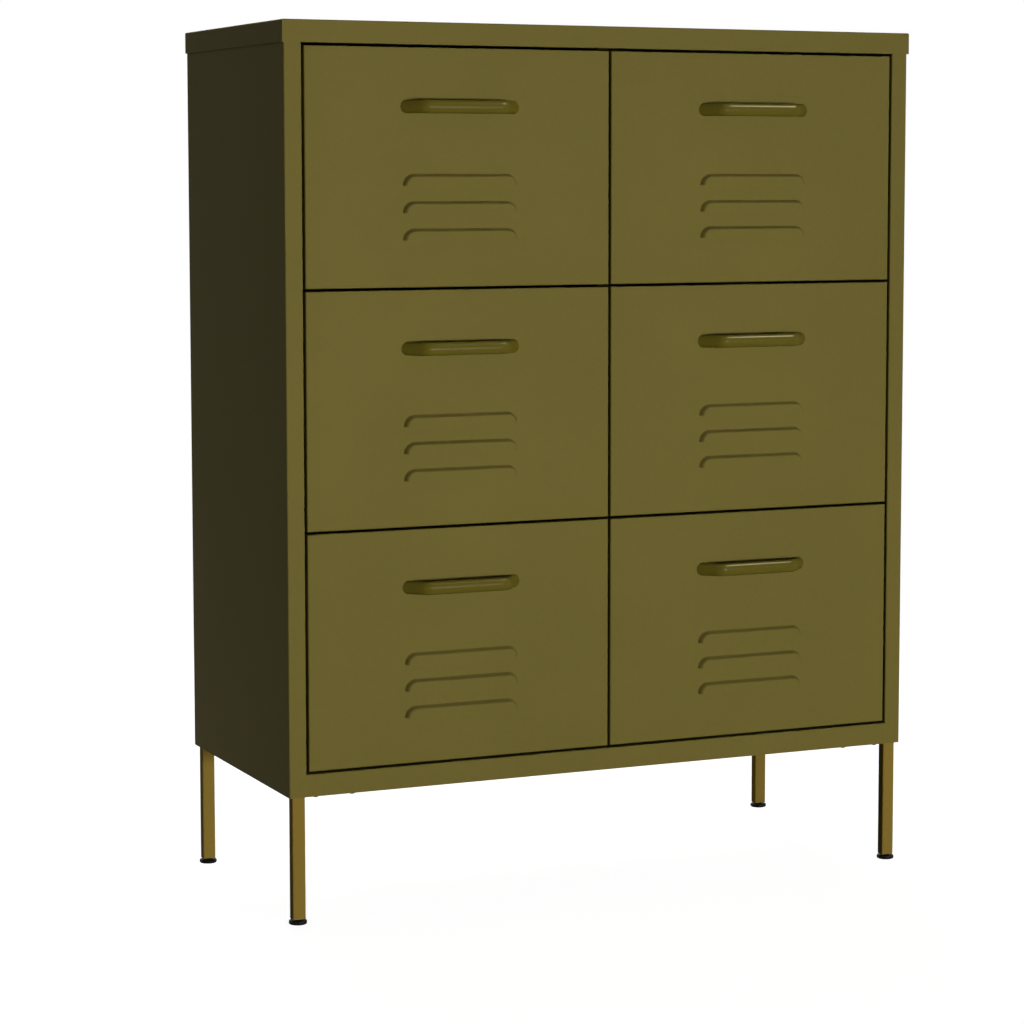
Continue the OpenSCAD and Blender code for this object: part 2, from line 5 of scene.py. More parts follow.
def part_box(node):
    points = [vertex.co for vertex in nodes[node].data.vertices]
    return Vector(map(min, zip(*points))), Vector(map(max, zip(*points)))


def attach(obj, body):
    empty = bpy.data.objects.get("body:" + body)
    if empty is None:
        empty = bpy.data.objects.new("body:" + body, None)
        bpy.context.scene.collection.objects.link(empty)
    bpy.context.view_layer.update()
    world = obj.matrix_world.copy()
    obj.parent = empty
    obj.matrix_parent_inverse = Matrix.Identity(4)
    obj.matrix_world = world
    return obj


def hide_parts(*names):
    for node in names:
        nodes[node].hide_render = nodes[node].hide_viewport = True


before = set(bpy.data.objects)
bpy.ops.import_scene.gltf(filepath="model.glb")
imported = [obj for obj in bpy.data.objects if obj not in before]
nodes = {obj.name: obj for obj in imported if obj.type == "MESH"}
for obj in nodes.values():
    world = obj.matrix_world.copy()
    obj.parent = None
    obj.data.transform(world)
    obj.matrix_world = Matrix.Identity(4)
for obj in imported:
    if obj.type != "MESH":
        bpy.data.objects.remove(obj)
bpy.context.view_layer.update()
mm = 0.001
print("frame loaded:", len(nodes), "nodes")

rowNames = ["bottom", "middle", "top"]
columnNames = ["left", "right"]
drawers = [row + "_" + column for row in rowNames for column in columnNames]
corners = [end + "_" + column for end in ("front", "back") for column in columnNames]


# camera

cameraView = {
    "place": (-1.47505, -3.2143, 0.84282),  # metres, worked out from the photo's straight edges
    "yaw": 24.523,      # degrees to the right of +Y
    "pitch": 5.375,     # degrees down
    "lens": 102.442,    # mm
    "sensor": 36,
    "shiftX": -0.032,
    "shiftY": -0.06,
}

camData = bpy.data.cameras.new("photoCamera")
camera = bpy.data.objects.new("photoCamera", camData)
bpy.context.scene.collection.objects.link(camera)
camData.lens = cameraView["lens"]
camData.sensor_width = cameraView["sensor"]
camData.shift_x = cameraView["shiftX"]
camData.shift_y = cameraView["shiftY"]
camera.location = cameraView["place"]
camera.rotation_euler = (math.radians(90 - cameraView["pitch"]), 0,
                         -math.radians(cameraView["yaw"]))
bpy.context.scene.camera = camera
bpy.context.scene.view_settings.view_transform = "Standard"
print("camera set")


# colours and nodes

def linear(hexColour):
    # sRGB hex to the linear values that Blender's sockets take
    channels = [int(hexColour[i:i + 2], 16) / 255 for i in (1, 3, 5)]
    return [c / 12.92 if c <= 0.04045 else ((c + 0.055) / 1.055) ** 2.4 for c in channels] + [1.0]


def addNode(tree, kind, links=None, **settings):
    # a name starting with "in_" sets an input socket by name, "inN" by number, others an attribute
    made = tree.nodes.new("ShaderNode" + kind)
    for name, value in settings.items():
        if name.startswith("in_"):
            made.inputs[name[3:].replace("_", " ")].default_value = value
        elif name.startswith("in") and name[2:].isdigit():
            made.inputs[int(name[2:])].default_value = value
        else:
            setattr(made, name, value)
    for socket, source in (links or {}).items():
        tree.links.new(source, made.inputs[socket])
    return made


def newMaterial(name):
    material = bpy.data.materials.new(name)
    material.use_nodes = True
    material.node_tree.nodes.clear()
    return material, material.node_tree


def perMm(size):
    # noise scale, in features per metre, for a pattern of this many millimetres
    return 1000 / size


noiseLow, noiseHigh = 0.3, 0.7   # nearly all values of a noise texture lie between these


# materials

powderCoat = {
    "colour": "#695F2D",      # olive read from the drawer fronts, with the satin sheen painted into it: painted reflection, which is why the specular below stays low
    "thinColour": "#70662F",  # painted highlight: the lighter olive shown on rounded folds
    "thinFrom": 0.995, "thinTo": 0.90,   # cosines between the rounded normal and the flat one
    "thinMost": 0.75,
    "foldMm": 0.9,            # how far the painted fold highlight reaches from an edge
    "driftMm": 240, "drift": 0.035,      # lighter and darker by this share over a whole panel
    "speckMm": 5, "speck": 0.025,        # and from spot to spot
    "roughness": 0.55,
    "roughSpread": (-0.04, 0.05),
    "specular": 0.015,
    "peelMm": 2.6,            # orange peel; the real 1 mm is too fine to show, so drawn coarser
    "peelHeight": 0.016,      # mm
    "waveMm": 170,            # slow waves in thin sheet
    "waveHeight": 0.5,        # mm
    "waveStrength": 0.5,
}


def polyesterPowderCoat(name, look):
    # sprayed and baked polyester: flat satin olive with fine orange peel, and a painted highlight
    # that makes folds a shade lighter
    material, tree = newMaterial(name)
    place = addNode(tree, "TexCoord").outputs["Object"]
    drift = addNode(tree, "TexNoise", {"Vector": place}, in_Scale=perMm(look["driftMm"]),
                    in_Detail=3.0, in_Roughness=0.55)
    speck = addNode(tree, "TexNoise", {"Vector": place}, in_Scale=perMm(look["speckMm"]),
                    in_Detail=4.0, in_Roughness=0.6)
    tone = addNode(tree, "MapRange", {"Value": drift.outputs["Fac"]}, in1=noiseLow, in2=noiseHigh,
                   in3=1 - look["drift"], in4=1 + look["drift"])
    fine = addNode(tree, "MapRange", {"Value": speck.outputs["Fac"]}, in1=noiseLow, in2=noiseHigh,
                   in3=1 - look["speck"], in4=1 + look["speck"])
    shade = addNode(tree, "Math", {0: tone.outputs[0], 1: fine.outputs[0]}, operation="MULTIPLY")
    # painted highlight: the colour turns lighter where a rounded normal leaves the flat one
    soft = addNode(tree, "Bevel", samples=4, in_Radius=look["foldMm"] * mm)
    flat = addNode(tree, "NewGeometry")
    turn = addNode(tree, "VectorMath", {0: soft.outputs[0], 1: flat.outputs["Normal"]},
                   operation="DOT_PRODUCT")
    edge = addNode(tree, "MapRange", {"Value": turn.outputs["Value"]}, in1=look["thinFrom"],
                   in2=look["thinTo"], in3=0.0, in4=look["thinMost"])
    colour = addNode(tree, "Mix", {0: edge.outputs[0]}, data_type="RGBA",
                     in6=linear(look["colour"]), in7=linear(look["thinColour"]))
    toned = addNode(tree, "VectorMath", {0: colour.outputs[2], "Scale": shade.outputs[0]},
                    operation="SCALE")
    less, more = look["roughSpread"]
    rough = addNode(tree, "MapRange", {"Value": speck.outputs["Fac"]}, in1=noiseLow, in2=noiseHigh,
                    in3=look["roughness"] + less, in4=look["roughness"] + more)
    peel = addNode(tree, "TexNoise", {"Vector": place}, in_Scale=perMm(look["peelMm"]),
                   in_Detail=2.0, in_Roughness=0.5)
    wave = addNode(tree, "TexNoise", {"Vector": place}, in_Scale=perMm(look["waveMm"]),
                   in_Detail=1.0)
    slow = addNode(tree, "Bump", {"Height": wave.outputs["Fac"]}, in_Strength=look["waveStrength"],
                   in_Distance=look["waveHeight"] * mm)
    bump = addNode(tree, "Bump", {"Height": peel.outputs["Fac"], "Normal": slow.outputs[0]},
                   in_Strength=1.0, in_Distance=look["peelHeight"] * mm)
    shader = addNode(tree, "BsdfPrincipled",
                     {"Base Color": toned.outputs[0], "Roughness": rough.outputs[0],
                      "Normal": bump.outputs[0]}, in_Specular_IOR_Level=look["specular"])
    addNode(tree, "OutputMaterial", {"Surface": shader.outputs[0]})
    return material


olivePowderCoat = polyesterPowderCoat("olivePowderCoat", powderCoat)

# the handles are smoother than the sheet: they show small sharp lights
handleCoat = dict(powderCoat, colour="#595017", thinColour="#5D541A", roughness=0.24, peelMm=9.0,
                  peelHeight=0.003, specular=0.03)
oliveHandleEnamel = polyesterPowderCoat("oliveHandleEnamel", handleCoat)

# painted light: the legs' olive is lighter and warmer than the sheet's, standing in for warm light
# bounced up from the floor
legPaintedLightCoat = dict(powderCoat, colour="#7E692D", thinColour="#846F32", specular=0.005)
oliveLegCoat = polyesterPowderCoat("oliveLegCoat", legPaintedLightCoat)

# painted shade: the divider is coated near black, standing in for the dark seen through the drawer
# gaps
dividerShadeCoat = dict(powderCoat, colour="#1F1A0A", thinColour="#2A2410", specular=0.01)
darkInnerCoat = polyesterPowderCoat("darkInnerCoat", dividerShadeCoat)

zincFinish = {
    "colour": "#8F9393",
    "blueColour": "#7C868E",  # clear chromate over the zinc
    "cloudMm": 18,
    "roughness": 0.34,
    "roughSpread": (-0.08, 0.1),
    "grainMm": 0.8,
    "grainHeight": 0.01,      # mm
    "grainStrength": 0.4,
}


def brightZincPlate(name, look):
    # electroplated zinc with clear chromate: grey metal, cloudy, faintly blue
    material, tree = newMaterial(name)
    place = addNode(tree, "TexCoord").outputs["Object"]
    cloud = addNode(tree, "TexNoise", {"Vector": place}, in_Scale=perMm(look["cloudMm"]),
                    in_Detail=4.0)
    grain = addNode(tree, "TexNoise", {"Vector": place}, in_Scale=perMm(look["grainMm"]),
                    in_Detail=2.0)
    colour = addNode(tree, "Mix", {0: cloud.outputs["Fac"]}, data_type="RGBA",
                     in6=linear(look["colour"]), in7=linear(look["blueColour"]))
    less, more = look["roughSpread"]
    rough = addNode(tree, "MapRange", {"Value": grain.outputs["Fac"]}, in1=noiseLow, in2=noiseHigh,
                    in3=look["roughness"] + less, in4=look["roughness"] + more)
    bump = addNode(tree, "Bump", {"Height": grain.outputs["Fac"]},
                   in_Strength=look["grainStrength"], in_Distance=look["grainHeight"] * mm)
    shader = addNode(tree, "BsdfPrincipled",
                     {"Base Color": colour.outputs[2], "Roughness": rough.outputs[0],
                      "Normal": bump.outputs[0]}, in_Metallic=1.0)
    addNode(tree, "OutputMaterial", {"Surface": shader.outputs[0]})
    return material


zincPlate = brightZincPlate("brightZincPlate", zincFinish)

# painted shade: the leg screws' zinc is darker and yellower, standing in for the shade they sit in
# under the cabinet, nearly as dark as the olive sheet
screwShadeFinish = dict(zincFinish, colour="#5E5C4C", blueColour="#4A4B48", roughness=0.5)
shadedZincPlate = brightZincPlate("shadedZincPlate", screwShadeFinish)

nylonLook = {
    "colour": "#060606",
    "wornColour": "#121110",
    "scuffMm": 6,
    "wornFrom": 0.5, "wornTo": 0.8,
    "roughness": 0.42,
    "roughSpread": (-0.06, 0.1),
    "specular": 0.05,
    "grainMm": 0.9,
    "grainHeight": 0.03,      # mm
    "grainStrength": 0.6,
}


def mouldedNylon(name, look):
    # injection-moulded black polyamide: near black, faint eroded texture, soft sheen
    material, tree = newMaterial(name)
    place = addNode(tree, "TexCoord").outputs["Object"]
    scuff = addNode(tree, "TexNoise", {"Vector": place}, in_Scale=perMm(look["scuffMm"]),
                    in_Detail=5.0)
    grain = addNode(tree, "TexNoise", {"Vector": place}, in_Scale=perMm(look["grainMm"]),
                    in_Detail=1.0)
    worn = addNode(tree, "MapRange", {"Value": scuff.outputs["Fac"]}, in1=look["wornFrom"],
                   in2=look["wornTo"])
    colour = addNode(tree, "Mix", {0: worn.outputs[0]}, data_type="RGBA",
                     in6=linear(look["colour"]), in7=linear(look["wornColour"]))
    less, more = look["roughSpread"]
    rough = addNode(tree, "MapRange", {"Value": scuff.outputs["Fac"]}, in1=noiseLow, in2=noiseHigh,
                    in3=look["roughness"] + less, in4=look["roughness"] + more)
    bump = addNode(tree, "Bump", {"Height": grain.outputs["Fac"]},
                   in_Strength=look["grainStrength"], in_Distance=look["grainHeight"] * mm)
    shader = addNode(tree, "BsdfPrincipled",
                     {"Base Color": colour.outputs[2], "Roughness": rough.outputs[0],
                      "Normal": bump.outputs[0]}, in_Specular_IOR_Level=look["specular"])
    addNode(tree, "OutputMaterial", {"Surface": shader.outputs[0]})
    return material


blackNylon = mouldedNylon("blackNylon", nylonLook)
print("materials made")


# the CAD solids get their paint; the handles have their own, the legs one with painted light and the
# divider one with painted shade

slotMaterials = {"olive_paint": olivePowderCoat, "zinc_steel": zincPlate,
                 "black_plastic": blackNylon}
for node in nodes.values():
    for part in node.material_slots:
        part.material = slotMaterials[part.material.name.split(".")[0]]
for drawer in drawers:
    nodes[drawer + "_handle"].material_slots[0].material = oliveHandleEnamel
# the legs take the coat with painted light in it
for corner in corners:
    nodes[corner + "_leg"].material_slots[0].material = oliveLegCoat
# the divider takes the near-black coat: painted shade
nodes["centre_divider"].material_slots[0].material = darkInnerCoat
print("nodes painted")


# making pieces

sharpAngle = 35   # degrees between two faces


def newPiece(name, mesh, body, material, slot, *stoodFor):
    piece = bpy.data.objects.new(name, mesh)
    bpy.context.scene.collection.objects.link(piece)
    mesh.materials.clear()
    mesh.materials.append(material)
    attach(piece, body)
    if stoodFor:
        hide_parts(*stoodFor)
    return piece


def smoothed(mesh):
    # smooth shading that stops at folds and corners
    mesh.shade_smooth()
    mesh.set_sharp_from_angle(angle=math.radians(sharpAngle))
    return mesh


def meshFrom(name, verts, faces):
    # points come in millimetres
    mesh = bpy.data.meshes.new(name)
    mesh.from_pydata([[c * mm for c in v] for v in verts], [], faces)
    return smoothed(mesh)


def withModifier(mesh, kind, **settings):
    # the mesh as the modifier leaves it
    holder = bpy.data.objects.new("holder", mesh)
    bpy.context.scene.collection.objects.link(holder)
    modifier = holder.modifiers.new(kind, kind)
    for name, value in settings.items():
        setattr(modifier, name, value)
    graph = bpy.context.evaluated_depsgraph_get()
    made = bpy.data.meshes.new_from_object(holder.evaluated_get(graph))
    made.name = mesh.name
    bpy.data.objects.remove(holder)
    return smoothed(made)


def lathe(profile, steps):
    # profile is (radius, height) from the lower end of the axis to the upper one
    verts, faces = [], []
    for k in range(steps):
        turn = 2 * math.pi * k / steps
        verts += [(r * math.cos(turn), r * math.sin(turn), z) for r, z in profile]
    count = len(profile)
    for k in range(steps):
        a, b = k * count, (k + 1) % steps * count
        for i in range(count - 1):
            faces.append((a + i, b + i, b + i + 1, a + i + 1))
    return verts, faces


def welded(mesh):
    # closes the poles and seams of a turned mesh
    work = bmesh.new()
    work.from_mesh(mesh)
    bmesh.ops.remove_doubles(work, verts=work.verts, dist=0.002 * mm)
    bmesh.ops.dissolve_degenerate(work, edges=work.edges, dist=0.001 * mm)
    bmesh.ops.recalc_face_normals(work, faces=work.faces)
    work.to_mesh(mesh)
    work.free()
    return smoothed(mesh)


def copiesOf(mesh, places, name):
    # one mesh with a copy at each place
    work = bmesh.new()
    for place in places:
        step = bmesh.new()
        step.from_mesh(mesh)
        step.transform(place)
        placed = bpy.data.meshes.new("placed")
        step.to_mesh(placed)
        step.free()
        work.from_mesh(placed)
        bpy.data.meshes.remove(placed)
    joined = bpy.data.meshes.new(name)
    work.to_mesh(joined)
    work.free()
    return smoothed(joined)


def arc(radius, start, end, steps):
    # offsets round a circle, first and last included
    turns = [math.radians(start + (end - start) * i / steps) for i in range(steps + 1)]
    return [(radius * math.cos(t), radius * math.sin(t)) for t in turns]


# drawer fronts

pressedFront = {
    # millimetres
    "depth": 15, "sheet": 0.8,
    "fold": 1.6,      # outer radius round the rim
    "sideLip": 26, "lowLip": 30, "topLip": 12,   # lips turned in behind the front
    "louvres": 3, "louvreWidth": 140, "louvreHeight": 13.5, "louvreDepth": 6.0, "louvreCorner": 13,
    "pitch": 30.7,    # from one louvre to the next
    "drop": 141,      # from the front's upper edge to the first louvre
    "topRun": 3.5, "endRun": 6.0,   # width of the sloping band along the top and round the ends
    "topSoft": 0.5,   # 0 is a straight slope along the top, 1 a full S
    "endEase": 2.8,   # how soon the steep ends ease off
    "step": 0.6,      # grid over the pressed places
    "middleStep": 12, "flatStep": 30,   # grid between a louvre's ends, and over flat sheet
    "guard": 0.7,     # flat rows beside each louvre, which keep its shading off the flat sheet
    "foldSteps": 6,
}
near = 1e-3   # mm, under which two heights count as one


def louvreRise(look, x, down):
    # how far the sheet is pressed out, at x from the middle and this far below the louvre's top
    side, r = look["louvreWidth"] / 2 - abs(x), look["louvreCorner"]
    inside, lean = min(side, down), 0 if down < side else 1
    if side < r and down < r:
        inside = r - math.hypot(r - side, r - down)
        lean = (r - side) / max(math.hypot(r - side, r - down), 1e-6)
    if inside <= 0:
        return 0
    # along the top the band is a soft step; round the ends it starts steep and eases off
    top = min(inside / look["topRun"], 1)
    end = min(inside / look["endRun"], 1)
    top = (1 - look["topSoft"]) * top + look["topSoft"] * top * top * (3 - 2 * top)
    end = 1 - (1 - end) ** look["endEase"]
    return look["louvreDepth"] * (top + lean ** 2 * (end - top))


def spaced(start, end, step):
    # even values, both ends included, about a step apart
    count = max(1, round(abs(end - start) / step))
    return [start + (end - start) * i / count for i in range(count + 1)]


def pressedFrontMesh(name, look, middle, y, width, low, height):
    half, fold = width / 2 - look["fold"], look["fold"]
    louvreHalf, corner = look["louvreWidth"] / 2, look["louvreCorner"]
    guard = louvreHalf + look["guard"]
    across = spaced(-half, -guard, look["flatStep"])
    across += spaced(-louvreHalf, corner - louvreHalf, look["step"])
    across += spaced(corner - louvreHalf, louvreHalf - corner, look["middleStep"])
    across += spaced(louvreHalf - corner, louvreHalf, look["step"])
    across += spaced(guard, half, look["flatStep"])
    across = sorted({round(x, 4) for x in across})
    tops = [height - look["drop"] - i * look["pitch"] for i in range(look["louvres"])]
    up = spaced(fold, tops[-1] - look["louvreHeight"] - look["guard"], look["flatStep"])
    up += spaced(tops[0] + look["guard"], height - fold, look["flatStep"])
    for top in tops:
        up += spaced(top - look["louvreHeight"], top, look["step"])
        up += [top + look["guard"], top - look["louvreHeight"] - look["guard"]]
    up = sorted({round(z, 4) for z in up})
    slots = {round(top - look["louvreHeight"], 4) for top in tops}

    verts, faces, spot, lip = [], [], {}, {}
    for j, z in enumerate(up):
        top = next((t for t in tops if t - look["louvreHeight"] - near <= z <= t), None)
        for i, x in enumerate(across):
            rise = 0 if top is None else louvreRise(look, x, top - z)
            spot[i, j] = len(verts)
            if z in slots and abs(x) < louvreHalf - near:
                # two points at a louvre's lower edge: the sheet's and the hood's
                verts.append((x, 0, z))
                lip[i, j] = len(verts)
            verts.append((x, -rise, z))
    for j in range(len(up) - 1):
        for i in range(len(across) - 1):
            a, b = lip.get((i, j), spot[i, j]), lip.get((i + 1, j), spot[i + 1, j])
            faces.append((a, b, spot[i + 1, j + 1], spot[i, j + 1]))

    # folds, flange and lips, as rings round the skin's rim
    right, above = len(across) - 1, len(up) - 1
    rim = [spot[i, 0] for i in range(right)] + [spot[right, j] for j in range(above)]
    rim += [spot[i, above] for i in range(right, 0, -1)] + [spot[0, j] for j in range(above, 0, -1)]
    shape = [((verts[v][0] + half) / (2 * half), (verts[v][2] - fold) / (height - 2 * fold))
             for v in rim]
    steps, depth = look["foldSteps"], look["depth"]
    rings = [(c, fold + s) for c, s in arc(fold, -90, 0, steps)[1:]]
    rings += [(c, depth - fold + s) for c, s in arc(fold, 0, 90, steps)]
    outlines = [(-half - out, half + out, fold - out, height - fold + out, back)
                for out, back in rings]
    outlines.append((look["sideLip"] - width / 2, width / 2 - look["sideLip"], look["lowLip"],
                     height - look["topLip"], depth))
    for x0, x1, z0, z1, back in outlines:
        ring = list(range(len(verts), len(verts) + len(rim)))
        verts += [(x0 + u * (x1 - x0), back, z0 + v * (z1 - z0)) for u, v in shape]
        for k in range(len(rim)):
            n = (k + 1) % len(rim)
            faces.append((ring[k], ring[n], rim[n], rim[k]))
        rim = ring
    placed = [(middle + vx, y + vy, low + vz) for vx, vy, vz in verts]
    skin = meshFrom(name, placed, faces)
    return withModifier(skin, "SOLIDIFY", thickness=look["sheet"] * mm, offset=-1,
                        use_even_offset=True)


for drawer in drawers:
    low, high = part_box(drawer + "_front")
    mesh = pressedFrontMesh(drawer + "_pressedFront", pressedFront, (low[0] + high[0]) / 2 / mm,
                            high[1] / mm - pressedFront["depth"], (high[0] - low[0]) / mm,
                            low[2] / mm, (high[2] - low[2]) / mm)
    newPiece(drawer + "_pressedFront", mesh, drawer + "_drawer", olivePowderCoat, "olive_paint",
             drawer + "_front")
print("drawer fronts pressed")


# handles

bowHandle = {
    "length": 145.2, "height": 15.4, "thickness": 10, "standOut": 22,   # mm
    "slope": 45,      # degrees between the ends and the drawer front
    "bend": 14,       # mm, radius of the bar's middle line
    "fullness": 2.0,  # 2 is an ellipse, more is squarer
    "around": 44, "bendSteps": 9, "gripStep": 8,
    "slopeSteps": (0.35, 0.7, 1.0),   # shares of the straight end, the last on the drawer front
}


def bowHandleMesh(name, look, middle, y, z):
    rise = math.radians(look["slope"])
    stand = look["standOut"] - look["thickness"] / 2
    run = (stand - look["bend"] * (1 - math.cos(rise))) / math.tan(rise)
    gripHalf = (look["length"] / 2 - look["thickness"] / 2 / math.sin(rise) - run
                - look["bend"] * math.sin(rise))
    # the right half of the middle line, each point with the bar's direction there
    path = [(x, -stand, 1, 0) for x in spaced(0, gripHalf, look["gripStep"])[:-1]]
    steps = look["bendSteps"]
    for i, (dx, dy) in enumerate(arc(look["bend"], -90, look["slope"] - 90, steps)):
        turn = rise * i / steps
        path.append((gripHalf + dx, look["bend"] - stand + dy, math.cos(turn), math.sin(turn)))
    bx, by = path[-1][:2]
    for part in look["slopeSteps"]:
        path.append((bx - by * part / math.tan(rise), by - by * part, math.cos(rise),
                     math.sin(rise)))
    whole = [(-px, py, tx, -ty) for px, py, tx, ty in reversed(path[1:])] + path

    around, power = look["around"], 2 / look["fullness"]
    section = []
    for k in range(around):
        turn = 2 * math.pi * k / around
        c, s = math.cos(turn), math.sin(turn)
        section.append((math.copysign(abs(c) ** power, c) * look["thickness"] / 2,
                        math.copysign(abs(s) ** power, s) * look["height"] / 2))
    verts, faces = [], []
    for n, (px, py, tx, ty) in enumerate(whole):
        for out, upward in section:
            vx, vy = px + ty * out, py - tx * out
            if n in (0, len(whole) - 1):   # the ends lie flat on the drawer front
                vx, vy = vx - vy * tx / ty, 0
            verts.append((middle + vx, y + vy, z + upward))
    for n in range(len(whole) - 1):
        for k in range(around):
            a, b = n * around + k, n * around + (k + 1) % around
            faces.append((a, a + around, b + around, b))
    faces.append(tuple(range(around)))
    faces.append(tuple(reversed(range(len(verts) - around, len(verts)))))
    return meshFrom(name, verts, faces)


for drawer in drawers:
    low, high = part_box(drawer + "_handle")
    mesh = bowHandleMesh(drawer + "_bowHandle", bowHandle, (low[0] + high[0]) / 2 / mm,
                         high[1] / mm, (low[2] + high[2]) / 2 / mm)
    newPiece(drawer + "_bowHandle", mesh, drawer + "_drawer", oliveHandleEnamel, "olive_paint",
             drawer + "_handle")
print("handles bent")


# levelling feet: a nylon pad moulded on a threaded steel stem

levellingFoot = {
    # millimetres, heights from the floor
    "padDiameter": 21, "padHeight": 4.4,
    "rim": 1.5,                    # rounding of the pad's edge
    "hollow": 0.4, "ring": 3.0,    # the sole stands on a ring round a shallow hollow
    "neck": 4.5, "neckTop": 5.7,   # radius and top of the collar round the stem
    "padSteps": 56, "rimSteps": 5,
    "stemDiameter": 6, "stemTop": 22,
    "pitch": 1.0, "threadDepth": 0.45,
    "crest": (0.4, 0.55), "root": 0.95,   # a thread's outline, in shares of the pitch
    "threadSteps": 24,             # to a turn
    "buried": 0.6,                 # how deep the stem starts in the collar
}


def padMesh(name, look):
    r, h, rim = look["padDiameter"] / 2, look["padHeight"], look["rim"]
    hollow, inner = look["hollow"], r - look["ring"]
    neck, neckTop = look["neck"], look["neckTop"]
    profile = [(0, hollow), (inner - hollow, hollow), (inner, 0), (r - rim, 0)]
    profile += [(r - rim + c, rim + s) for c, s in arc(rim, -90, 0, look["rimSteps"])[1:]]
    profile += [(r - rim + c, h - rim + s) for c, s in arc(rim, 0, 90, look["rimSteps"])]
    # a small fillet at the collar's foot and a chamfer at its top
    profile += [(neck + 1.2, h), (neck + 0.3, h + 0.25), (neck, h + 0.8), (neck, neckTop - 0.2),
                (neck - 0.2, neckTop), (0, neckTop)]
    return welded(meshFrom(name, *lathe(profile, look["padSteps"])))


def stemMesh(name, look):
    # one continuous helix of triangular thread
    r, pitch, steps = look["stemDiameter"] / 2, look["pitch"], look["threadSteps"]
    low, start = r - look["threadDepth"], look["neckTop"] - look["buried"]
    outline = [(low, 0)] + [(r, share) for share in look["crest"]] + [(low, look["root"])]
    turns = int((look["stemTop"] - start) / pitch) - 1
    verts, faces = [], []
    for k in range(turns * steps + 1):
        turn = 2 * math.pi * k / steps
        z = start + pitch * k / steps
        for out, share in outline:
            verts.append((out * math.cos(turn), out * math.sin(turn), z + share * pitch))
    count = len(outline)
    for k in range(turns * steps):
        for i in range(count - 1):
            a = count * k + i
            faces.append((a, a + count, a + count + 1, a + 1))
    count, inside = len(verts), low - 0.01   # the core lies just under the thread's root
    core, coreFaces = lathe([(0, start), (inside, start), (inside, look["stemTop"]),
                             (0, look["stemTop"])], steps)
    verts += core
    faces += [tuple(v + count for v in face) for face in coreFaces]
    return meshFrom(name, verts, faces)


for corner in corners:
    low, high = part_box(corner + "_foot")
    spot = Matrix.Translation(((low[0] + high[0]) / 2, (low[1] + high[1]) / 2, 0))
    body = corner + "_levelling_foot"
    newPiece(corner + "_footPad", copiesOf(padMesh("pad", levellingFoot), [spot], corner + "_pad"),
             body, blackNylon, "black_plastic", corner + "_foot")
    newPiece(corner + "_footStem",
             copiesOf(stemMesh("stem", levellingFoot), [spot], corner + "_stem"),
             body, zincPlate, "zinc_steel")
print("feet moulded")


# screws, all with a cross recess

panHeadScrew = {
    # millimetres
    "head": 7.2, "height": 2.0, "edge": 0.5,   # the dome starts above this edge
    "shank": 4, "length": 8, "tip": 0.5,
    "recess": 4.0, "slot": 0.95, "deep": 1.3,  # the cross, which narrows on its way down
    "around": 32,
}
flatHeadScrew = dict(panHeadScrew, height=1.3, edge=0.35, deep=0.9)
shortScrew = dict(panHeadScrew, length=5.8)
countersunkScrew = dict(panHeadScrew, height=0, sink=1.2, length=5, recess=3.8, deep=1.0)


def screwMesh(name, look):
    # stands on its head's seat with the head up and the shank down
    r, shank, tip = look["head"] / 2, look["shank"] / 2, look["tip"]
    end, top = -look["length"], look["height"]
    profile = [(0, end), (shank - tip, end), (shank, tip + end)]
    if top:
        profile += [(shank, 0), (r - 0.1, 0), (r, 0.12)]
        profile += [(r * math.cos(t), look["edge"] + (top - look["edge"]) * math.sin(t))
                    for t in [math.radians(a) for a in (0, 12, 25, 40, 55, 70, 82)]]
        profile.append((0, top))
    else:
        profile += [(shank, -look["sink"]), (r - 0.05, -0.05), (r - 0.15, 0), (0, 0)]
    body = welded(meshFrom(name, *lathe(profile, look["around"])))
    arm, narrow = look["recess"] / 2, look["slot"] / 2
    cross = [(narrow, narrow), (arm, narrow), (arm, -narrow), (narrow, -narrow), (narrow, -arm),
             (-narrow, -arm), (-narrow, -narrow), (-arm, -narrow), (-arm, narrow), (-narrow, narrow),
             (-narrow, arm), (narrow, arm)]
    verts = [(x * 1.1, y * 1.1, top + 0.3) for x, y in cross]   # from just above the head
    verts += [(x * 0.55, y * 0.55, top - look["deep"]) for x, y in cross]
    count = len(cross)
    faces = [tuple(range(count)), tuple(range(count, 2 * count))[::-1]]
    faces += [(i, (i + 1) % count, (i + 1) % count + count, i + count) for i in range(count)]
    tool = bpy.data.objects.new("crossTool", welded(meshFrom("crossTool", verts, faces)))
    bpy.context.scene.collection.objects.link(tool)
    cutMesh = withModifier(body, "BOOLEAN", operation="DIFFERENCE", object=tool, solver="EXACT")
    bpy.data.objects.remove(tool)
    return cutMesh


def facing(direction, x, y, z, spin):
    # where a screw sits, its head towards the direction, and how far its cross is turned
    aim = Vector(direction).to_track_quat("Z", "Y").to_matrix().to_4x4()
    return Matrix.Translation((x * mm, y * mm, z * mm)) @ aim @ Matrix.Rotation(spin, 4, "Z")


carcass = {
    # millimetres in the frame: where the sheets' faces lie
    "halfWidth": 398.25, "front": -163.25, "back": 183.75,
    "underside": 146.5, "floor": 149.3, "lidUnderside": 990,
    "divider": 8, "open": 377.5,   # the drawers' room, from the divider to the posts
}
middleY = (carcass["front"] + carcass["back"]) / 2

# distances in millimetres; each next screw's cross is turned by "turn", in radians
legScrewAt = {"fromSide": (33, 77), "fromEnd": (5.6, 41.6), "turn": 0.9}
places = []
for side in (-1, 1):
    for end in (-1, 1):
        for dx in legScrewAt["fromSide"]:
            for dy in legScrewAt["fromEnd"]:
                x = side * (carcass["halfWidth"] - dx)
                y = middleY + end * ((carcass["back"] - carcass["front"]) / 2 - dy)
                places.append(facing((0, 0, -1), x, y, carcass["underside"],
                                     legScrewAt["turn"] * len(places)))
screw = screwMesh("panHeadScrew", panHeadScrew)
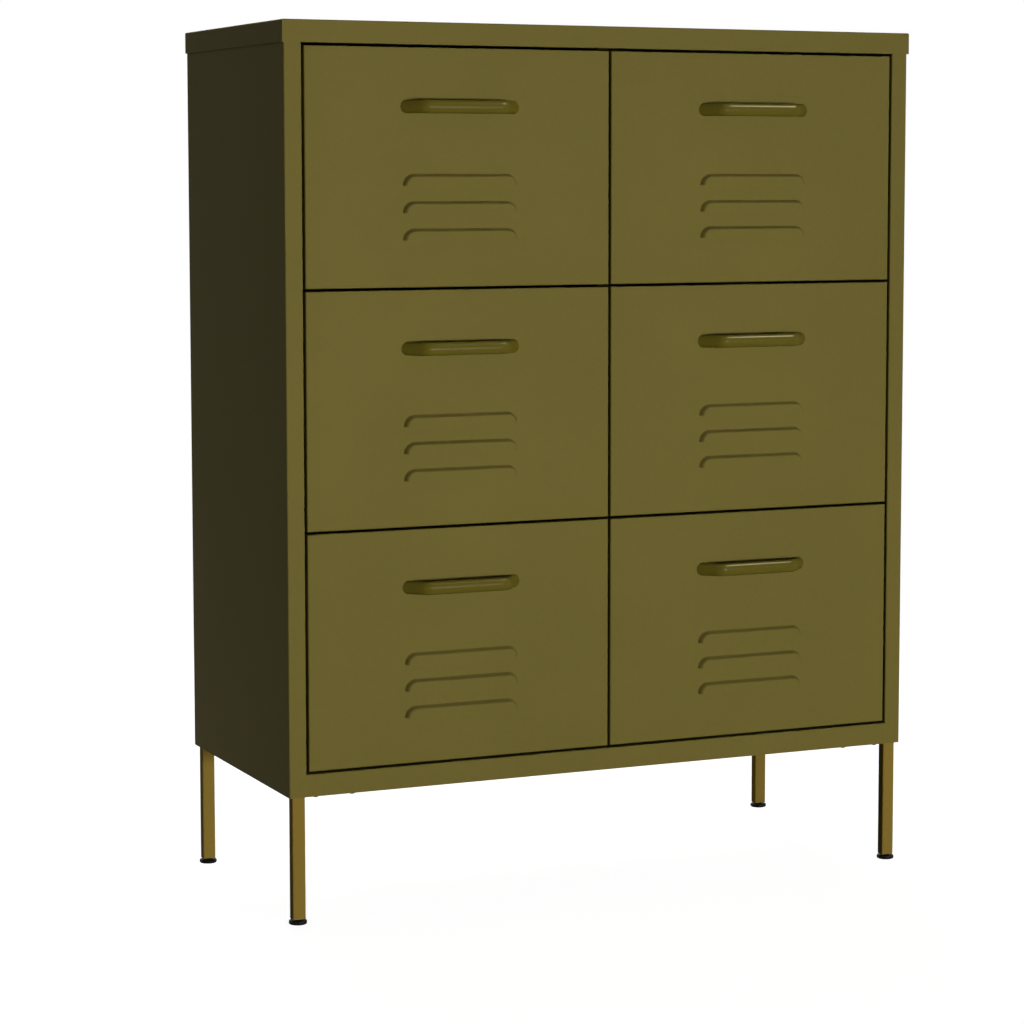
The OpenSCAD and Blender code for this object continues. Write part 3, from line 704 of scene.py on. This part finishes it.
# the leg plate's screws take the darkened zinc: painted shade
newPiece("legPlateScrews", copiesOf(screw, places, "legPlateScrews"), "cabinet", shadedZincPlate,
         "zinc_steel", "leg_screws")

backScrewAt = {"rows": 5, "end": 30, "flange": 11, "floorShare": 0.3, "floorFlange": 10,
               "turn": 0.7}
lowest = carcass["underside"] + backScrewAt["end"]
step = (carcass["lidUnderside"] - backScrewAt["end"] - lowest) / (backScrewAt["rows"] - 1)
spots = [(side * (carcass["halfWidth"] - backScrewAt["flange"]), lowest + i * step)
         for side in (-1, 1) for i in range(backScrewAt["rows"])]
spots += [(side * backScrewAt["floorShare"] * 2 * carcass["halfWidth"],
           carcass["floor"] + backScrewAt["floorFlange"]) for side in (-1, 1)]
spots += [(0, lowest + i * step) for i in range(1, backScrewAt["rows"] - 1)]
screw = screwMesh("flatHeadScrew", flatHeadScrew)
places = [facing((0, 1, 0), x, carcass["back"], z, backScrewAt["turn"] * i)
          for i, (x, z) in enumerate(spots)]
newPiece("backPanelScrews", copiesOf(screw, places, "backPanelScrews"), "cabinet", zincPlate,
         "zinc_steel", "back_screws")

handleScrewAt = {"turn": 0.5, "turnPerMetre": 9}
screw = screwMesh("handleScrew", shortScrew)
seat, headRadius = carcass["front"] + pressedFront["sheet"], shortScrew["head"] / 2 * mm
for n, drawer in enumerate(drawers):
    low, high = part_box(drawer + "_handle_screws")
    places = [facing((0, 1, 0), x / mm, seat, (low[2] + high[2]) / 2 / mm,
                     handleScrewAt["turn"] * n + handleScrewAt["turnPerMetre"] * x)
              for x in (low[0] + headRadius, high[0] - headRadius)]
    newPiece(drawer + "_handleScrews", copiesOf(screw, places, drawer + "_handleScrews"),
             drawer + "_drawer", zincPlate, "zinc_steel", drawer + "_handle_screws")

slideScrewAt = {"railSheet": 1.2, "heights": (279, 550.6, 822.2), "depths": (-120.25, 125.75),
                "turn": 0.8}
screw = screwMesh("countersunkScrew", countersunkScrew)
places = []
for side in (-1, 1):
    for inner in (-1, 1):
        # the rails stand on the divider and on the posts; their screws face the drawer box
        face = carcass["divider"] if inner < 0 else carcass["open"]
        x = side * (face - inner * slideScrewAt["railSheet"])
        for z in slideScrewAt["heights"]:
            for y in slideScrewAt["depths"]:
                places.append(facing((-side * inner, 0, 0), x, y, z,
                                     slideScrewAt["turn"] * len(places)))
newPiece("slideRailScrews", copiesOf(screw, places, "slideRailScrews"), "cabinet", zincPlate,
         "zinc_steel", "slide_screws")
print("screws turned")


# studio

studio = {
    "floorSize": 30.0,
    "ambient": 0.07,       # world strength for light on the object
    "floorGlow": 0.88,     # how much of the floor's white shows by itself
    "fadeFrom": 1.2, "fadeTo": 2.2,  # metres from the object to where the floor is plain white
    "floorDrop": 8.2,      # mm below the soles, so that feet screwed right out stay in sight
    "paper": "#8C8B88",    # what the floor throws back on the object
    "paperSeen": "#C8C8C6",
    "fibreMm": 3,
    "aim": (0.0, -0.1, 0.55),
}


def seenRay(tree):
    # 1 for rays from the eye, straight or by way of gloss or glass, and 0 for soft light
    rays = addNode(tree, "LightPath")
    eye = addNode(tree, "Math", {0: rays.outputs["Is Camera Ray"],
                                 1: rays.outputs["Is Glossy Ray"]}, operation="MAXIMUM")
    return addNode(tree, "Math", {0: eye.outputs[0], 1: rays.outputs["Is Transmission Ray"]},
                   operation="MAXIMUM").outputs[0]


# the world is white to the eye and lights the object only faintly
world = bpy.data.worlds.new("studioWorld")
bpy.context.scene.world = world
world.use_nodes = True
tree = world.node_tree
tree.nodes.clear()
strength = addNode(tree, "MapRange", {"Value": seenRay(tree)}, in3=studio["ambient"], in4=1.0)
sky = addNode(tree, "Background", {"Strength": strength.outputs[0]}, in_Color=(1, 1, 1, 1))
addNode(tree, "OutputWorld", {"Surface": sky.outputs[0]})

# matt paper sweep: white to the eye, with the object's soft shadow left on it near the feet
floorMaterial, tree = newMaterial("paperFloor")
seen = seenRay(tree)
place = addNode(tree, "TexCoord").outputs["Object"]
reach = addNode(tree, "VectorMath", {0: place}, operation="LENGTH")
far = addNode(tree, "MapRange", {"Value": reach.outputs["Value"]}, interpolation_type="SMOOTHSTEP",
              in1=studio["fadeFrom"], in2=studio["fadeTo"])
farSeen = addNode(tree, "Math", {0: far.outputs[0], 1: seen}, operation="MULTIPLY")
glow = addNode(tree, "Math", {0: seen}, operation="MULTIPLY", in1=studio["floorGlow"])
fibre = addNode(tree, "TexNoise", {"Vector": place}, in_Scale=perMm(studio["fibreMm"]),
                in_Detail=3.0)
tone = addNode(tree, "Mix", {0: seen}, data_type="RGBA", in6=linear(studio["paper"]),
               in7=linear(studio["paperSeen"]))
tooth = addNode(tree, "Bump", {"Height": fibre.outputs["Fac"]}, in_Strength=0.2,
                in_Distance=0.05 * mm)
paper = addNode(tree, "BsdfDiffuse", {"Color": tone.outputs[2], "Normal": tooth.outputs[0]},
                in_Roughness=1.0)
light = addNode(tree, "Emission", {"Strength": glow.outputs[0]}, in_Color=(1, 1, 1, 1))
both = addNode(tree, "AddShader", {0: paper.outputs[0], 1: light.outputs[0]})
blank = addNode(tree, "Emission", in_Color=(1, 1, 1, 1), in_Strength=1.0)
shown = addNode(tree, "MixShader",
                {0: farSeen.outputs[0], 1: both.outputs[0], 2: blank.outputs[0]})
addNode(tree, "OutputMaterial", {"Surface": shown.outputs[0]})

floorMesh = bpy.data.meshes.new("floor")
half = studio["floorSize"] / 2
floorMesh.from_pydata([(-half, -half, 0), (half, -half, 0), (half, half, 0), (-half, half, 0)], [],
                      [(0, 1, 2, 3)])
floorMesh.materials.append(floorMaterial)
floor = bpy.data.objects.new("floor", floorMesh)
floor.location.z = -studio["floorDrop"] * mm
bpy.context.scene.collection.objects.link(floor)


lamps = {
    # place and size in metres, power in watts, spread in degrees; a lamp with "only" gives no
    # soft light and is seen in gloss alone: these two make the bright spots on the handles
    "keySoftbox": {"place": (1.2, -6.2, 0.3), "size": (2.2, 0.6), "power": 68, "spread": 80,
                   "aim": (-0.6, -0.1, 0.6)},
    "sparkLamp": {"place": (1.65, -1.8, 2.58), "size": (0.5, 0.5), "power": 230, "only": "gloss",
                  "colour": "#FFF3D0"},
    "stripLamp": {"place": (1.6, -3.2, 0.95), "size": (3.0, 0.08), "power": 6, "only": "gloss"},
    "backSoftbox": {"place": (0.6, 3.0, 2.7), "size": (2.4, 2.4), "power": 150},
}


def softLamp(name, look):
    data = bpy.data.lights.new(name, "AREA")
    data.shape = "RECTANGLE"
    data.size, data.size_y = look["size"]
    data.energy = look["power"]
    data.spread = math.radians(look.get("spread", 180))
    data.color = linear(look.get("colour", "#FFFFFF"))[:3]
    lamp = bpy.data.objects.new(name, data)
    lamp.location = look["place"]
    toward = Vector(look.get("aim", studio["aim"])) - Vector(look["place"])
    lamp.rotation_euler = toward.to_track_quat("-Z", "Y").to_euler()
    lamp.visible_diffuse = "only" not in look
    bpy.context.scene.collection.objects.link(lamp)


for name, look in lamps.items():
    softLamp(name, look)
print("studio lit")
